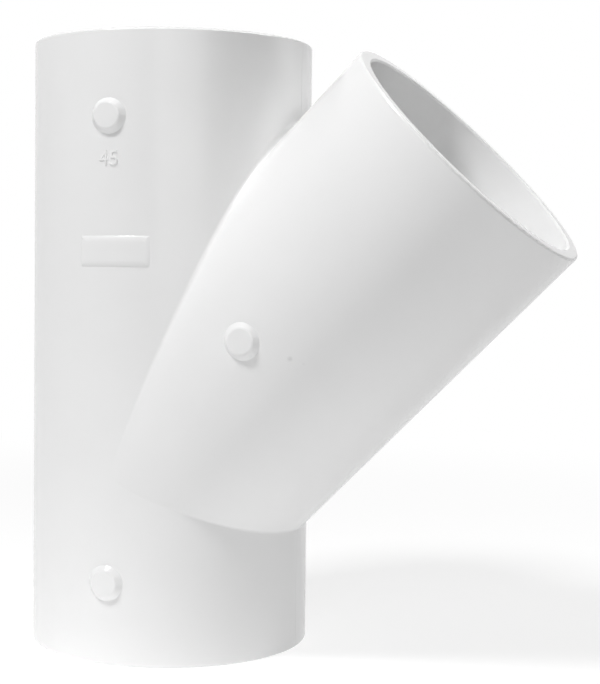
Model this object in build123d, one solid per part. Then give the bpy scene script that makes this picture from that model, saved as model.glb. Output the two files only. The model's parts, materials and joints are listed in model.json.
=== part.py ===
from build123d import *

import os
from math import radians, tan

# Lateral wye fitting: a straight run with one equal branch leaving it at 45 degrees, with a
# solvent-weld socket at each of its three ends. It is moulded in one piece.
#
# Sizes are in millimetres. The run stands along Z, with the centre of its lower end face at the
# origin. The branch climbs towards +X, and the mould opened along Y.

# Sockets, the same at all three ends
pipe_outside_diameter = 114.3  # the pipe that the sockets take
socket_clearance = 0.1  # radial, as it is halfway down the socket's light taper
socket_depth = 51.0  # from the rim to the stop ledge
socket_wall = 6.25
entry_chamfer = 0.8  # lead-in at the mouth of each socket
rim_radius = 1.0  # rounding of the outer edge of each rim

# Waterway between the three stop ledges
stop_ledge = 3.25  # how far a ledge stands in from its socket's wall
ledge_chamfer = 0.6  # on the ledge's inner edge

# Layout of the limbs
branch_angle = 45.0  # degrees between the run's axis and the branch's axis
lower_land = 6.6  # straight waterway from the heel of the crossing to the lower ledge
upper_land = 11.1  # straight waterway from the crotch of the crossing to the upper ledge
branch_land = 18.6  # the same along the branch
branch_slimming = 0.1  # how much smaller in radius the branch is, inside and out, than the run
saddle_fillet = 1.8  # outside, where the branch grows out of the run

# Ejector bosses on the front of the run and of the branch
boss_face_diameter = 11.4
boss_height = 2.0
boss_flank_angle = 45.0  # degrees between a boss's side and its axis
boss_root = 1.5  # how far a boss reaches into the wall that carries it
boss_edge_break = 0.4  # small chamfer round a boss's flat face
lower_boss_from_rim = 35.5
upper_boss_from_rim = 37.0
branch_boss_from_rim = 111.4
run_boss_turn = 0.75  # degrees round from the very front, towards the branch
branch_boss_turn = 1.4  # degrees round from the very front, towards the branch's underside

socket_radius = pipe_outside_diameter / 2 + socket_clearance
run_radius = socket_radius + socket_wall
branch_radius = run_radius - branch_slimming
run_bore_radius = socket_radius - stop_ledge
branch_bore_radius = run_bore_radius - branch_slimming

# The two waterways cross between the heel, under the branch, and the crotch, over it. Both are
# measured from the point where the axes meet.
heel_reach = run_bore_radius * tan(radians(branch_angle / 2))
crotch_reach = run_bore_radius / tan(radians(branch_angle / 2))
lower_length = heel_reach + lower_land + socket_depth
upper_length = crotch_reach + upper_land + socket_depth
branch_length = crotch_reach + branch_land + socket_depth
run_length = lower_length + upper_length
branch_place = Pos(0, 0, lower_length) * Rot(0, branch_angle, 0)


def standing_cylinder(radius, length):
    """A cylinder that stands on the XY plane."""
    return Cylinder(radius, length, align=(Align.CENTER, Align.CENTER, Align.MIN))


def outside():
    """The fitting's outer form, still solid inside."""
    run = standing_cylinder(run_radius, run_length)
    run = fillet(run.edges().filter_by(GeomType.CIRCLE), rim_radius)
    branch = standing_cylinder(branch_radius, branch_length)
    branch = fillet(branch.edges().filter_by(GeomType.CIRCLE).sort_by(Axis.Z)[-1], rim_radius)
    both = run + branch_place * branch
    saddle = [edge for edge in both.edges() if edge.geom_type == GeomType.BSPLINE]
    return fillet(saddle, saddle_fillet)


def plug(bore_radius, bore_length):
    """Form of the waterway from Z = 0 up to a stop ledge, and of the socket above the ledge."""
    ledge = bore_length
    mouth = ledge + socket_depth
    profile = Polyline(
        (0, 0),
        (bore_radius, 0),
        (bore_radius, ledge - ledge_chamfer),
        (bore_radius + ledge_chamfer, ledge),
        (socket_radius, ledge),
        (socket_radius, mouth - entry_chamfer),
        (socket_radius + entry_chamfer, mouth),
        (0, mouth),
        close=True,
    )
    return revolve(Plane.XZ * make_face(profile), Axis.Z)


def hollow():
    """Everything that is open inside: three sockets and the waterway that joins them."""
    lower = plug(run_bore_radius, lower_length - socket_depth)
    upper = plug(run_bore_radius, upper_length - socket_depth)
    crossing = Pos(0, 0, lower_length)
    run = crossing * (upper + Rot(180, 0, 0) * lower)
    branch = branch_place * plug(branch_bore_radius, branch_length - socket_depth)
    return run + branch


def boss(limb_radius, height, turn):
    """A round boss on the front of an upright limb, at this height and turned round by degrees."""
    face_radius = boss_face_diameter / 2
    root_radius = face_radius + (boss_height + boss_root) * tan(radians(boss_flank_angle))
    profile = Polyline(
        (0, -boss_root),
        (root_radius, -boss_root),
        (face_radius, boss_height),
        (0, boss_height),
        close=True,
    )
    upright = revolve(Plane.XZ * make_face(profile), Axis.Z)
    face_edge = upright.edges().filter_by(GeomType.CIRCLE).sort_by(Axis.Z)[-1]
    upright = chamfer(face_edge, boss_edge_break)
    return Pos(0, 0, height) * Rot(0, 0, turn) * Pos(0, -limb_radius, 0) * Rot(90, 0, 0) * upright


def bosses():
    """The three bosses, one below and one above the branch, and one on the branch."""
    return [
        boss(run_radius, lower_boss_from_rim, run_boss_turn),
        boss(run_radius, run_length - upper_boss_from_rim, run_boss_turn),
        branch_place * boss(branch_radius, branch_length - branch_boss_from_rim, branch_boss_turn),
    ]


def wye_body():
    """The whole moulding."""
    return outside() + bosses() - hollow()


os.makedirs("parts", exist_ok=True)
body = wye_body()
export_step(body, "parts/wye_body.step")
print("overall run length", round(run_length, 2), "branch length", round(branch_length, 2))
print("volume, cubic centimetres", round(body.volume / 1000, 1))
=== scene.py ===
"""Dresses the lateral wye fitting, a pipe fitting moulded in one piece from white rigid PVC.

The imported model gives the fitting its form. This script gives it its plastic, adds the fine relief
that the mould left on it, and sets a plain studio around it. Sizes are in millimetres until they
reach Blender, which works in metres.
"""

import json
import logging
import math
from collections.abc import Callable
from dataclasses import dataclass
from enum import Enum

import bpy
from mathutils import Matrix, Vector

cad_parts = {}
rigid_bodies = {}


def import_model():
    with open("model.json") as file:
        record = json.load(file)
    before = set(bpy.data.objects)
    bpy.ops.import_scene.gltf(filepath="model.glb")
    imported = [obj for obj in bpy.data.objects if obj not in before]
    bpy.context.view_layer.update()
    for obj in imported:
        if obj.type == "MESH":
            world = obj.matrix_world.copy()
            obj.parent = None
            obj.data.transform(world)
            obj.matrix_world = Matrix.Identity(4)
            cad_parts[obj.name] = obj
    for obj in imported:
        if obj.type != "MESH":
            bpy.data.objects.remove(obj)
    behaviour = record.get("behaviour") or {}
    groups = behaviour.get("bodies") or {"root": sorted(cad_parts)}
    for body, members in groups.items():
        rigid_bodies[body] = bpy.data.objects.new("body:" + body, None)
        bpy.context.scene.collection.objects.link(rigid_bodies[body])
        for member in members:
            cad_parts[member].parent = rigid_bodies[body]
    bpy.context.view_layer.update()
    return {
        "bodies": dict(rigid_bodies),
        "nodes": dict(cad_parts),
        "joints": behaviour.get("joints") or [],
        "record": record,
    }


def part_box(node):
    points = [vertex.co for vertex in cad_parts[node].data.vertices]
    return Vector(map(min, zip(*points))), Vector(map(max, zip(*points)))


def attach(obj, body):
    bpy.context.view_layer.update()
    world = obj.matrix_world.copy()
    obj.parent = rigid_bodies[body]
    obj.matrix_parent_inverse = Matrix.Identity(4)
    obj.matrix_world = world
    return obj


LOG = logging.getLogger("lateral_wye")

BODY_NODE = "wye_body"
ROOT_BODY = "root"
FRAME_WIDTH_PX = 600
FRAME_HEIGHT_PX = 684
SENSOR_MM = 36.0
MM_PER_METRE = 1000.0
FRONT = Vector((0.0, -1.0, 0.0))
FACING_FRONT = (math.radians(90.0), 0.0, 0.0)  # turns a shape drawn on the XY plane
MERGE_MM = 0.002  # points nearer than this are one


class MixSocket(Enum):
    """The colour sockets of a Mix node, whose names its other kinds share."""

    FIRST = 6
    SECOND = 7
    RESULT = 2


def metres(value_mm: float | Vector) -> float | Vector:
    """Turns millimetres to metres."""
    return value_mm / MM_PER_METRE


def millimetres(value_m: float | Vector) -> float | Vector:
    """Turns metres to millimetres."""
    return value_m * MM_PER_METRE


def linear_colour(hex_code: str) -> tuple[float, float, float, float]:
    """Turns an sRGB hex colour to linear light.

    Args:
        hex_code: six hex digits, such as "F0F0EE".

    Returns:
        Red, green, blue and an alpha of 1, as Blender's sockets take them.
    """
    channels = [int(hex_code[place : place + 2], 16) / 255.0 for place in (0, 2, 4)]
    red, green, blue = [
        part / 12.92 if part <= 0.04045 else ((part + 0.055) / 1.055) ** 2.4 for part in channels
    ]
    return red, green, blue, 1.0


def outward_direction(azimuth_deg: float, elevation_deg: float) -> Vector:
    """Gives the direction from the object to something round it.

    Args:
        azimuth_deg: turn from the object's front towards its branch.
        elevation_deg: height above the horizon.

    Returns:
        The direction, of length 1.
    """
    azimuth = math.radians(azimuth_deg)
    elevation = math.radians(elevation_deg)
    level = Vector((math.sin(azimuth), -math.cos(azimuth), 0.0)) * math.cos(elevation)
    return level + Vector((0.0, 0.0, math.sin(elevation)))


def add_node(
    tree: bpy.types.NodeTree,
    kind: str,
    links: dict[str | int, bpy.types.NodeSocket] | None = None,
    values: dict[str | int, object] | None = None,
    **settings: object,
) -> bpy.types.Node:
    """Adds one node to a tree.

    Args:
        tree: the material's or the world's node tree.
        kind: the node's type, such as "ShaderNodeBump".
        links: for each input, by name or index, the output that feeds it.
        values: for each input, by name or index, its constant value.
        **settings: properties of the node itself, such as operation="MULTIPLY".

    Returns:
        The new node.
    """
    node = tree.nodes.new(kind)
    for name, setting in settings.items():
        setattr(node, name, setting)
    for name, value in (values or {}).items():
        node.inputs[name].default_value = value
    for name, source in (links or {}).items():
        tree.links.new(source, node.inputs[name])
    return node


def deselect_all() -> None:
    """Leaves object mode with nothing selected."""
    if bpy.context.object and bpy.context.object.mode != "OBJECT":
        bpy.ops.object.mode_set(mode="OBJECT")
    bpy.ops.object.select_all(action="DESELECT")


def make_active(piece: bpy.types.Object) -> None:
    """Selects one object alone and makes it the active one.

    Args:
        piece: the object.
    """
    deselect_all()
    piece.select_set(True)
    bpy.context.view_layer.objects.active = piece


def select_faces(piece: bpy.types.Object, wanted: Callable[[bpy.types.MeshPolygon], bool]) -> None:
    """Selects some faces of the active object and goes to edit mode.

    Args:
        piece: the mesh, which is active.
        wanted: says of a face whether it is to be selected.
    """
    bpy.ops.object.mode_set(mode="OBJECT")
    for element in (*piece.data.vertices, *piece.data.edges, *piece.data.polygons):
        element.select = False
    for face in piece.data.polygons:
        face.select = wanted(face)
    bpy.ops.object.mode_set(mode="EDIT")
    bpy.ops.mesh.select_mode(type="FACE")


def add_modifier(piece: bpy.types.Object, kind: str, **settings: object) -> None:
    """Adds a modifier to the active object and applies it.

    Args:
        piece: the mesh, which is active and in object mode.
        kind: the modifier's type, such as "SOLIDIFY".
        **settings: the modifier's properties.
    """
    modifier = piece.modifiers.new(kind.lower(), kind)
    for name, setting in settings.items():
        setattr(modifier, name, setting)
    bpy.ops.object.modifier_apply(modifier=modifier.name)


@dataclass(frozen=True)
class Limb:
    """One straight limb of the fitting, as the frame gives it. Lengths are in millimetres."""

    foot: Vector
    axis: Vector
    length: float
    radius: float

    def place_on_wall(self, from_rim_mm: float, turn_deg: float) -> Vector:
        """Gives a place on the limb's outside.

        Args:
            from_rim_mm: how far it is from the limb's far rim.
            turn_deg: turn round the limb from its very front, towards its underside.

        Returns:
            The place, in millimetres.
        """
        turn = math.radians(turn_deg)
        under = self.axis.cross(FRONT)
        outward = FRONT * math.cos(turn) + under * math.sin(turn)
        return self.foot + self.axis * (self.length - from_rim_mm) + outward * self.radius

    def distance_from_axis(self, place: Vector) -> float:
        """Gives how far a place is from the limb's axis, in millimetres."""
        offset = place - self.foot
        return (offset - self.axis * offset.dot(self.axis)).length


@dataclass(frozen=True)
class Layout:
    """Where the limbs lie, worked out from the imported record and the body's box."""

    run: Limb
    branch: Limb

    @classmethod
    def from_frame(cls, frame: dict) -> "Layout":
        """Reads the limbs from the frame.


        Returns:
            The layout, in millimetres.
        """
        mounts = {mount["name"]: mount for mount in frame["record"]["mounts"]}
        lowest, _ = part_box(BODY_NODE)
        radius = millimetres(-lowest.x)
        top = millimetres(Vector(mounts["run_top_socket"]["pos_m"]))
        mouth = millimetres(Vector(mounts["branch_socket"]["pos_m"]))
        axis = Vector(mounts["branch_socket"]["axis"]).normalized()
        length = mouth.x / axis.x
        return cls(
            run=Limb(Vector((0.0, 0.0, 0.0)), Vector((0.0, 0.0, 1.0)), top.z, radius),
            branch=Limb(mouth - axis * length, axis, length, radius),
        )


@dataclass(frozen=True)
class Speck:
    """A speck of dirt that was moulded into the skin of the branch."""

    from_rim_mm: float
    turn_deg: float
    radius_mm: float
    strength: float


@dataclass(frozen=True)
class Pattern:
    """A noise pattern, by how far apart its patches lie and how many finer layers it has."""

    size_mm: float
    detail: float


@dataclass(frozen=True)
class MouldedPvc:
    """White rigid PVC, injection moulded in a polished steel mould: a smooth, even, opaque white
    with a satin gloss. It shows a faint orange peel, and shallow sink ripples in its thick wall."""

    branch: Limb
    name: str = "white_rigid_pvc_moulded"
    colour: str = "F1F1F1"
    shaded_colour: str = "ECECEC"  # where the filler lies a little denser
    ior: float = 1.53
    roughness: float = 0.22
    roughness_spread: float = 0.05
    patches: Pattern = Pattern(45.0, 2.0)  # of slightly different gloss and white
    peel: Pattern = Pattern(1.6, 2.0)  # real peel is nearer 0.8 mm, too fine to show
    peel_height_mm: float = 0.004
    ripple: Pattern = Pattern(32.0, 0.0)
    ripple_height_mm: float = 0.035
    speck_colour: str = "B4B4B4"
    specks: tuple[Speck, ...] = (Speck(101.8, 18.9, 1.6, 0.32), Speck(99.5, 24.0, 0.9, 0.12))
    ragged_mm: float = 0.8  # how far a speck's edge wanders
    ragged_detail: float = 1.0

    def build(self) -> bpy.types.Material:
        """Makes the material.

        Returns:
            The material.
        """
        material = bpy.data.materials.new(self.name)
        material.use_nodes = True
        tree = material.node_tree
        tree.nodes.clear()
        place = add_node(tree, "ShaderNodeTexCoord").outputs["Object"]
        patches = self._noise(tree, place, self.patches)
        peel = self._noise(tree, place, self.peel)
        ripple = self._noise(tree, place, self.ripple)
        clean, shaded, dirt = (
            linear_colour(code) for code in (self.colour, self.shaded_colour, self.speck_colour)
        )
        white = self._blend(tree, patches, clean, shaded)
        for speck in self.specks:
            white = self._blend(tree, self._speck(tree, place, speck), white, dirt)
        gloss = add_node(
            tree,
            "ShaderNodeMapRange",
            links={"Value": patches},
            values={
                "To Min": self.roughness - self.roughness_spread,
                "To Max": self.roughness + self.roughness_spread,
            },
        )
        swell = add_node(
            tree,
            "ShaderNodeBump",
            links={"Height": ripple},
            values={"Strength": 1.0, "Distance": metres(self.ripple_height_mm)},
        )
        skin = add_node(
            tree,
            "ShaderNodeBump",
            links={"Height": peel, "Normal": swell.outputs["Normal"]},
            values={"Strength": 1.0, "Distance": metres(self.peel_height_mm)},
        )
        shader = add_node(
            tree,
            "ShaderNodeBsdfPrincipled",
            links={
                "Base Color": white,
                "Roughness": gloss.outputs["Result"],
                "Normal": skin.outputs["Normal"],
            },
            values={"IOR": self.ior, "Metallic": 0.0},
        )
        add_node(tree, "ShaderNodeOutputMaterial", links={"Surface": shader.outputs["BSDF"]})
        return material

    @staticmethod
    def _blend(
        tree: bpy.types.NodeTree,
        factor: bpy.types.NodeSocket,
        first: bpy.types.NodeSocket | tuple[float, ...],
        second: tuple[float, ...],
    ) -> bpy.types.NodeSocket:
        """Adds a mix of two colours.

        Args:
            tree: the material's node tree.
            factor: how much of the second colour there is.
            first: a colour, or the output that gives it.
            second: a colour.

        Returns:
            The mixed colour.
        """
        mix = add_node(
            tree,
            "ShaderNodeMix",
            data_type="RGBA",
            links={"Factor": factor},
            values={MixSocket.SECOND.value: second},
        )
        if isinstance(first, bpy.types.NodeSocket):
            tree.links.new(first, mix.inputs[MixSocket.FIRST.value])
        else:
            mix.inputs[MixSocket.FIRST.value].default_value = first
        return mix.outputs[MixSocket.RESULT.value]

    def _speck(
        self, tree: bpy.types.NodeTree, place: bpy.types.NodeSocket, speck: Speck
    ) -> bpy.types.NodeSocket:
        """Adds the mask of one speck, with a ragged edge.

        Args:
            tree: the material's node tree.
            place: the coordinates that it follows, in metres.
            speck: where it is and how strongly it shows.

        Returns:
            The mask's value, from 0 off the speck to its strength in its middle.
        """
        centre = metres(self.branch.place_on_wall(speck.from_rim_mm, speck.turn_deg))
        distance = add_node(
            tree,
            "ShaderNodeVectorMath",
            operation="DISTANCE",
            links={0: place},
            values={1: tuple(centre)},
        )
        grain = self._noise(tree, place, Pattern(speck.radius_mm, self.ragged_detail))
        ragged = add_node(
            tree,
            "ShaderNodeMath",
            operation="MULTIPLY_ADD",
            links={0: grain, 2: distance.outputs["Value"]},
            values={1: metres(self.ragged_mm)},
        )
        mask = add_node(
            tree,
            "ShaderNodeMapRange",
            interpolation_type="SMOOTHSTEP",
            links={"Value": ragged.outputs[0]},
            values={
                "From Min": metres(self.ragged_mm / 2.0),
                "From Max": metres(self.ragged_mm / 2.0 + speck.radius_mm),
                "To Min": speck.strength,
                "To Max": 0.0,
            },
        )
        return mask.outputs["Result"]

    @staticmethod
    def _noise(
        tree: bpy.types.NodeTree, place: bpy.types.NodeSocket, pattern: Pattern
    ) -> bpy.types.NodeSocket:
        """Adds a noise pattern.

        Args:
            tree: the material's node tree.
            place: the coordinates that it follows, in metres.
            pattern: its size and detail.

        Returns:
            The pattern's value, from 0 to 1.
        """
        noise = add_node(
            tree,
            "ShaderNodeTexNoise",
            links={"Vector": place},
            values={"Scale": 1.0 / metres(pattern.size_mm), "Detail": pattern.detail},
        )
        return noise.outputs[0]


@dataclass
class MouldRelief:
    """Base of the fine relief that stands on the moulding, all of the body's own plastic."""

    layout: Layout
    plastic: bpy.types.Material
    name: str = "mould_relief"
    smooth_deg: float = 35.0  # steeper edges than this stay crisp

    def finish_piece(self, piece: bpy.types.Object) -> bpy.types.Object:
        """Names a finished piece, dresses it and lets it ride on the body.

        Args:
            piece: the finished mesh, with its place in its mesh.

        Returns:
            The same object.
        """
        make_active(piece)
        piece.name = self.name
        piece.data.name = self.name
        piece.data.materials.clear()
        piece.data.materials.append(self.plastic)
        bpy.ops.object.shade_smooth_by_angle(angle=math.radians(self.smooth_deg))
        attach(piece, ROOT_BODY)
        LOG.info("%s: %d faces", self.name, len(piece.data.polygons))
        return piece


@dataclass
class BarePad(MouldRelief):
    """A raised rectangular pad with gentle slopes, on the front of the run, with nothing on it."""

    name: str = "bare_pad"
    width: float = 32.2
    height: float = 13.6
    proud: float = 0.62  # how far it stands out
    sunk: float = 0.3  # how far its back lies in the wall
    slope_foot: float = 0.2  # how far the foot of the slopes lies in the wall
    edge_break: float = 0.12  # rounding of its edges
    edge_steps: int = 3
    centre_height: float = 178.0
    centre_round: float = 3.3  # along the wall, towards the branch
    columns: int = 20  # the outermost ones are slopes
    rows: int = 9  # likewise
    drawn_before: float = 10.0  # how far before the wall it is drawn

    def build(self, body: bpy.types.Object) -> bpy.types.Object:
        """Models the pad.

        Args:
            body: the fitting's CAD node, on which it stands.

        Returns:
            The finished piece.
        """
        deselect_all()
        bpy.ops.mesh.primitive_grid_add(
            x_subdivisions=self.columns,
            y_subdivisions=self.rows,
            size=1.0,
            location=(
                metres(self.centre_round),
                metres(-self.layout.run.radius - self.drawn_before),
                metres(self.centre_height),
            ),
            rotation=FACING_FRONT,
        )
        piece = bpy.context.object
        piece.scale = (metres(self.width), metres(self.height), 1.0)
        bpy.ops.object.transform_apply(location=True, rotation=True, scale=True)
        add_modifier(
            piece,
            "SHRINKWRAP",
            target=body,
            wrap_method="PROJECT",
            use_project_y=True,
            use_positive_direction=True,
            use_negative_direction=False,
        )
        self._sink_and_slope()
        add_modifier(piece, "SOLIDIFY", thickness=metres(self.proud + self.sunk), offset=1.0)
        add_modifier(
            piece,
            "BEVEL",
            width=metres(self.edge_break),
            segments=self.edge_steps,
            limit_method="ANGLE",
            use_clamp_overlap=True,
        )
        return self.finish_piece(piece)

    def _sink_and_slope(self) -> None:
        """Sinks the active sheet into the wall, and its outline further, so that it has slopes."""
        bpy.ops.object.mode_set(mode="EDIT")
        bpy.ops.mesh.select_all(action="SELECT")
        bpy.ops.transform.translate(value=-FRONT * metres(self.sunk))
        bpy.ops.mesh.region_to_loop()
        bpy.ops.transform.translate(value=-FRONT * metres(self.proud + self.slope_foot))
        bpy.ops.mesh.select_all(action="SELECT")
        bpy.ops.mesh.quads_convert_to_tris(quad_method="LONGEST_DIAGONAL")
        bpy.ops.object.mode_set(mode="OBJECT")


@dataclass
class AngleNumerals(MouldRelief):
    """The branch's angle in plain raised numerals with soft edges, on the run above the pad."""

    name: str = "angle_numerals"
    text: str = "45"
    height: float = 6.5
    proud: float = 0.35
    sunk: float = 0.45  # enough for a flat back to lie in the round wall
    edge_break: float = 0.14
    edge_steps: int = 1
    curve_steps: int = 8
    centre_height: float = 217.7
    centre_round: float = 1.3
    capital_share: float = 0.7  # of the font's size that a numeral is high

    def build(self) -> bpy.types.Object:
        """Models the numerals.

        Returns:
            The finished piece.
        """
        deselect_all()
        half_thick = (self.proud + self.sunk) / 2.0
        bpy.ops.object.text_add(
            location=(
                metres(self.centre_round),
                metres(half_thick - self.proud - self.layout.run.radius),
                metres(self.centre_height - self.height / 2.0),
            ),
            rotation=FACING_FRONT,
        )
        lettering = bpy.context.object.data
        lettering.body = self.text
        lettering.size = metres(self.height / self.capital_share)
        lettering.align_x = "CENTER"
        lettering.resolution_u = self.curve_steps
        lettering.extrude = metres(half_thick - self.edge_break)
        lettering.bevel_depth = metres(self.edge_break)
        lettering.bevel_resolution = self.edge_steps
        lettering.offset = -metres(self.edge_break)
        bpy.ops.object.convert(target="MESH")
        piece = bpy.context.object
        bpy.ops.object.transform_apply(location=True, rotation=True, scale=True)
        bpy.ops.object.mode_set(mode="EDIT")
        bpy.ops.mesh.select_all(action="SELECT")
        bpy.ops.mesh.remove_doubles(threshold=metres(MERGE_MM))
        bpy.ops.object.mode_set(mode="OBJECT")
        return self.finish_piece(piece)


@dataclass
class PartingLine(MouldRelief):
    """The fine line where the two halves of the mould met, all round the fitting at Y = 0."""

    name: str = "parting_line"
    width: float = 0.3
    proud: float = 0.045
    sunk: float = 0.1
    skin: float = 0.6  # faces this far under the limbs' outside still belong to the outside
    flat_deg: float = 1.0  # faces at less of an angle than this become one

    def build(self, body: bpy.types.Object) -> bpy.types.Object:
        """Cuts a ribbon out of a copy of the body's skin and thickens it.

        Args:
            body: the fitting's CAD node, whose outside the line follows.

        Returns:
            The finished piece.
        """
        piece = bpy.data.objects.new(self.name, body.data.copy())
        bpy.context.scene.collection.objects.link(piece)
        make_active(piece)
        bpy.ops.object.mode_set(mode="EDIT")
        bpy.ops.mesh.select_all(action="SELECT")
        bpy.ops.mesh.remove_doubles(threshold=metres(MERGE_MM))
        for side in (-1.0, 1.0):
            bpy.ops.mesh.select_all(action="SELECT")
            bpy.ops.mesh.bisect(
                plane_co=(0.0, side * metres(self.width / 2.0), 0.0),
                plane_no=(0.0, side, 0.0),
                clear_outer=True,
            )
        select_faces(piece, lambda face: not self._is_outside(millimetres(face.center)))
        bpy.ops.mesh.delete(type="FACE")
        bpy.ops.mesh.select_all(action="SELECT")
        bpy.ops.mesh.customdata_custom_splitnormals_clear()
        bpy.ops.mesh.dissolve_limited(angle_limit=math.radians(self.flat_deg))
        bpy.ops.object.mode_set(mode="OBJECT")
        add_modifier(piece, "DISPLACE", strength=metres(-self.sunk), mid_level=0.0)
        add_modifier(piece, "SOLIDIFY", thickness=metres(self.proud + self.sunk), offset=1.0)
        return self.finish_piece(piece)

    def _is_outside(self, place: Vector) -> bool:
        """Says whether a place on the body's skin is on the limbs' outside.

        Args:
            place: the place, in millimetres.

        Returns:
            Whether it lies between the run's ends and near or beyond both limbs' outsides.
        """
        run, branch = self.layout.run, self.layout.branch
        within_run = 0.0 < place.z < run.length
        return within_run and all(
            limb.distance_from_axis(place) > limb.radius - self.skin for limb in (run, branch)
        )


@dataclass(frozen=True)
class Camera:
    """The camera, by where it looks and how its frame is shifted. Pixels are those of a picture
    600 wide and 684 high."""

    azimuth_deg: float = 23.47
    elevation_deg: float = 2.642
    roll_deg: float = 0.625
    distance_mm: float = 683.55
    aim_mm: tuple[float, float, float] = (44.49, 0.0, 143.29)
    focal_px: float = 1506.8
    centre_px: tuple[float, float] = (260.0, 330.0)

    def build(self) -> None:
        """Adds the camera and makes it the scene's own."""
        backward = outward_direction(self.azimuth_deg, self.elevation_deg)
        azimuth = math.radians(self.azimuth_deg)
        roll = math.radians(self.roll_deg)
        level_right = Vector((math.cos(azimuth), math.sin(azimuth), 0.0))
        level_up = backward.cross(level_right)
        right = level_right * math.cos(roll) + level_up * math.sin(roll)
        upward = backward.cross(right)
        place = metres(Vector(self.aim_mm) + backward * self.distance_mm)
        deselect_all()
        bpy.ops.object.camera_add()
        camera = bpy.context.object
        camera.name = "camera"
        turn = Matrix((right, upward, backward)).transposed().to_4x4()
        camera.matrix_world = Matrix.Translation(place) @ turn
        camera.data.sensor_width = SENSOR_MM
        camera.data.lens = self.focal_px * SENSOR_MM / FRAME_HEIGHT_PX
        camera.data.shift_x = (FRAME_WIDTH_PX / 2.0 - self.centre_px[0]) / FRAME_HEIGHT_PX
        camera.data.shift_y = (self.centre_px[1] - FRAME_HEIGHT_PX / 2.0) / FRAME_HEIGHT_PX
        camera.data.dof.use_dof = False
        bpy.context.scene.camera = camera
        LOG.info("camera at %s m", tuple(round(part, 3) for part in place))


@dataclass(frozen=True)
class Softbox:
    """A soft rectangular lamp that faces the object and doesn't show in the picture."""

    name: str
    azimuth_deg: float
    elevation_deg: float
    distance_mm: float
    width_mm: float
    height_mm: float
    watts: float

    def build(self, aim_mm: Vector) -> None:
        """Adds the lamp.

        Args:
            aim_mm: the point that it faces.
        """
        outward = outward_direction(self.azimuth_deg, self.elevation_deg)
        deselect_all()
        bpy.ops.object.light_add(type="AREA")
        lamp = bpy.context.object
        lamp.name = self.name
        lamp.location = metres(aim_mm + outward * self.distance_mm)
        lamp.rotation_euler = outward.to_track_quat("Z", "Y").to_euler()
        lamp.data.shape = "RECTANGLE"
        lamp.data.size = metres(self.width_mm)
        lamp.data.size_y = metres(self.height_mm)
        lamp.data.energy = self.watts
        lamp.visible_camera = False
        LOG.info("%s: %.1f W", self.name, self.watts)


@dataclass(frozen=True)
class GlowingTablePatch:
    """A patch of the table top with a painted glow, which throws light up at the object in place of
    light bounced off the table.
    """

    centre_mm: tuple[float, float]
    reach_mm: tuple[float, float]  # from its centre, where its light starts to fade and ends
    strength: float


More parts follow.
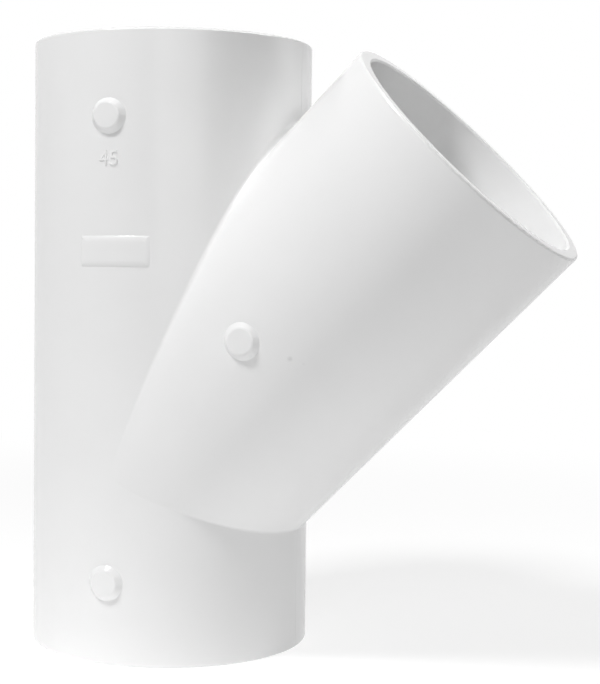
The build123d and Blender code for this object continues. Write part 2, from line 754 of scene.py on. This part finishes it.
@dataclass(frozen=True)
class Studio:
    """A white floor and surround, soft lamps, and a table top with patches of painted glow that
    throw light back up.
    """

    floor_mm: float = 8000.0
    floor_colour: str = "E6E6E6"
    shadow_share: float = 0.35  # how much of the lamps' own light shows on the white floor
    open_floor: float = 0.8  # what that light comes to where nothing stands in it
    shadow_reach_mm: tuple[float, float] = (260.0, 800.0)  # from the object, where shadows fade out
    # patches of painted glow on the table top, which light the object from below
    glowing_table_patches: tuple[GlowingTablePatch, ...] = (
        GlowingTablePatch((0.0, 0.0), (192.0, 320.0), 0.27),
        GlowingTablePatch((-100.0, -60.0), (70.0, 220.0), 0.38),
    )
    white: float = 1.0
    aim_mm: tuple[float, float, float] = (40.0, 0.0, 136.0)  # what the lamps face
    # azimuth and elevation, then distance, width and height, then watts
    lamps: tuple[Softbox, ...] = (
        Softbox("key_softbox", -30.0, 57.0, 1400.0, 280.0, 280.0, 13.9),
        Softbox("front_panel", 30.0, 20.0, 1400.0, 1000.0, 1000.0, 4.5),
        Softbox("overhead_panel", 0.0, 89.0, 1400.0, 1000.0, 1000.0, 2.3),
        Softbox("back_right_panel", 130.0, 20.0, 1400.0, 500.0, 1300.0, 2.2),
        Softbox("high_back_panel", 150.0, 50.0, 1400.0, 700.0, 700.0, 4.5),
    )

    def build(self) -> None:
        """Sets up the floor, the surround, the lamps and plain colours."""
        self._floor()
        self._surround()
        for lamp in self.lamps:
            lamp.build(Vector(self.aim_mm))
        bpy.context.scene.view_settings.view_transform = "Standard"

    @staticmethod
    def _directly_seen(tree: bpy.types.NodeTree) -> bpy.types.NodeSocket:
        """Adds nodes that say whether the eye, a reflection or clear matter shows a surface.

        Args:
            tree: the floor's or the world's node tree.

        Returns:
            The value, 1 where one of them shows it and 0 elsewhere.
        """
        rays = add_node(tree, "ShaderNodeLightPath").outputs
        eye_or_glass = add_node(
            tree,
            "ShaderNodeMath",
            operation="MAXIMUM",
            links={0: rays["Is Camera Ray"], 1: rays["Is Transmission Ray"]},
        )
        seen = add_node(
            tree,
            "ShaderNodeMath",
            operation="MAXIMUM",
            links={0: eye_or_glass.outputs[0], 1: rays["Is Glossy Ray"]},
        )
        return seen.outputs[0]

    @staticmethod
    def _fade(
        tree: bpy.types.NodeTree,
        distance: bpy.types.NodeSocket,
        reach_mm: tuple[float, float],
        levels: tuple[float, float],
    ) -> bpy.types.NodeSocket:
        """Adds a soft change of level with distance from a place on the floor.

        Args:
            tree: the floor's node tree.
            distance: how far a point of the floor is from that place.
            reach_mm: where the change starts and ends.
            levels: the level before it and the level after it.

        Returns:
            The level.
        """
        start, end = reach_mm
        before, after = levels
        fading = add_node(
            tree,
            "ShaderNodeMapRange",
            interpolation_type="SMOOTHSTEP",
            links={"Value": distance},
            values={
                "From Min": metres(start),
                "From Max": metres(end),
                "To Min": before,
                "To Max": after,
            },
        )
        return fading.outputs["Result"]

    def _glow(
        self, tree: bpy.types.NodeTree, place: bpy.types.NodeSocket, patch: GlowingTablePatch
    ) -> bpy.types.Node:
        """Adds the painted glow of one patch of the table top.

        Args:
            tree: the floor's node tree.
            place: a point of the floor.
            patch: the lit patch.

        Returns:
            The shader that sends it out.
        """
        across, along = (metres(part) for part in patch.centre_mm)
        distance = add_node(
            tree,
            "ShaderNodeVectorMath",
            operation="DISTANCE",
            links={0: place},
            values={1: (across, along, 0.0)},
        )
        level = self._fade(tree, distance.outputs["Value"], patch.reach_mm, (patch.strength, 0.0))
        return add_node(tree, "ShaderNodeEmission", links={"Strength": level})

    def _glowing_table(
        self, tree: bpy.types.NodeTree, place: bpy.types.NodeSocket
    ) -> bpy.types.NodeSocket:
        """Adds the floor as its light reaches the object: a matt table top with patches of painted
        glow.

        Args:
            tree: the floor's node tree.
            place: a point of the floor.

        Returns:
            The shader's output.
        """
        lit = add_node(
            tree, "ShaderNodeBsdfDiffuse", values={"Color": linear_colour(self.floor_colour)}
        )
        for patch in self.glowing_table_patches:
            glow = self._glow(tree, place, patch).outputs[0]
            lit = add_node(tree, "ShaderNodeAddShader", links={0: lit.outputs[0], 1: glow})
        return lit.outputs[0]

    def _shown_floor(
        self, tree: bpy.types.NodeTree, place: bpy.types.NodeSocket
    ) -> bpy.types.NodeSocket:
        """Adds the floor as it is seen: white, with the object's shadow near the object.

        Args:
            tree: the floor's node tree.
            place: a point of the floor.

        Returns:
            The shader's output.
        """
        share = self.shadow_share
        shadowed = add_node(
            tree, "ShaderNodeBsdfDiffuse", values={"Color": (share, share, share, 1.0)}
        )
        lift = add_node(
            tree,
            "ShaderNodeEmission",
            values={"Strength": self.white - share * self.open_floor},
        )
        near = add_node(
            tree, "ShaderNodeAddShader", links={0: shadowed.outputs[0], 1: lift.outputs[0]}
        )
        far = add_node(tree, "ShaderNodeEmission", values={"Strength": self.white})
        distance = add_node(tree, "ShaderNodeVectorMath", operation="LENGTH", links={0: place})
        fading = self._fade(tree, distance.outputs["Value"], self.shadow_reach_mm, (0.0, 1.0))
        shown = add_node(
            tree, "ShaderNodeMixShader", links={0: fading, 1: near.outputs[0], 2: far.outputs[0]}
        )
        return shown.outputs[0]

    def _floor(self) -> None:
        """Adds the floor, which looks white and keeps the object's shadow."""
        deselect_all()
        bpy.ops.mesh.primitive_plane_add(size=metres(self.floor_mm), location=(0.0, 0.0, 0.0))
        floor = bpy.context.object
        floor.name = "studio_floor"
        material = bpy.data.materials.new("white_studio_floor")
        material.use_nodes = True
        tree = material.node_tree
        tree.nodes.clear()
        place = add_node(tree, "ShaderNodeTexCoord").outputs["Object"]
        mixed = add_node(
            tree,
            "ShaderNodeMixShader",
            links={
                0: self._directly_seen(tree),
                1: self._glowing_table(tree, place),
                2: self._shown_floor(tree, place),
            },
        )
        add_node(tree, "ShaderNodeOutputMaterial", links={"Surface": mixed.outputs[0]})
        floor.data.materials.append(material)

    def _surround(self) -> None:
        """Makes the world white where it is seen or mirrored, and dark for all other light."""
        world = bpy.data.worlds.new("white_surround")
        bpy.context.scene.world = world
        world.use_nodes = True
        tree = world.node_tree
        tree.nodes.clear()
        strength = add_node(
            tree,
            "ShaderNodeMapRange",
            links={"Value": self._directly_seen(tree)},
            values={"To Max": self.white},
        )
        background = add_node(
            tree,
            "ShaderNodeBackground",
            links={"Strength": strength.outputs["Result"]},
            values={"Color": (1.0, 1.0, 1.0, 1.0)},
        )
        add_node(tree, "ShaderNodeOutputWorld", links={"Surface": background.outputs[0]})


def main() -> None:
    """Loads the frame, dresses the fitting and sets the studio around it."""
    logging.basicConfig(level=logging.INFO, format="%(name)s: %(message)s")
    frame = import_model()
    Camera().build()
    Studio().build()
    layout = Layout.from_frame(frame)
    plastic = MouldedPvc(layout.branch).build()
    body = frame["nodes"][BODY_NODE]
    body.data.materials.clear()
    body.data.materials.append(plastic)
    BarePad(layout, plastic).build(body)
    AngleNumerals(layout, plastic).build()
    PartingLine(layout, plastic).build(body)


if __name__ == "__main__":
    main()
